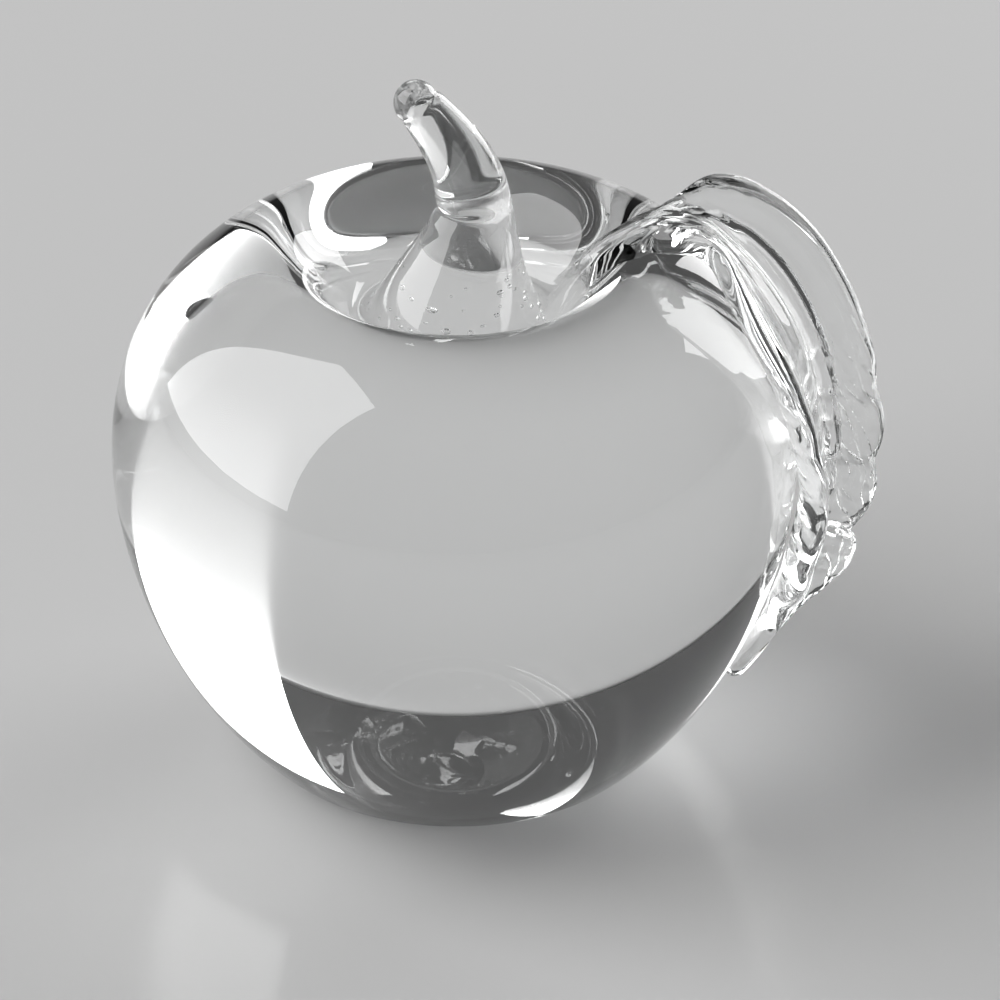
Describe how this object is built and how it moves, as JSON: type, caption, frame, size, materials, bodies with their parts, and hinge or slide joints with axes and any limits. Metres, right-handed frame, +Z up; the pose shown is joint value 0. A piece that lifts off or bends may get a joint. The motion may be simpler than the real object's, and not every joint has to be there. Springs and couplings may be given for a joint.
{
  "type": "apple paperweight",
  "caption": "Solid clear glass apple paperweight with a dimpled top, a bent stem, a ribbed leaf draped over the side and a flat ground base that rests on papers.",
  "frame": {"origin": "centre of the ground flat base, on the axis that the body is turned about", "axes": "+Z up along the body's axis, -Y towards the front, +X towards the leaf"},
  "size_m": [0.0852, 0.076, 0.0811],
  "materials": {
    "body_crystal": "fire-polished clear crystal",
    "stem_crystal": "fire-polished clear crystal",
    "leaf_crystal": "fire-polished clear crystal, pressed ribs"
  },
  "bodies": {
    "root": {"apple_body": "body_crystal", "stem": "stem_crystal", "leaf": "leaf_crystal"}
  },
  "joints": []
}
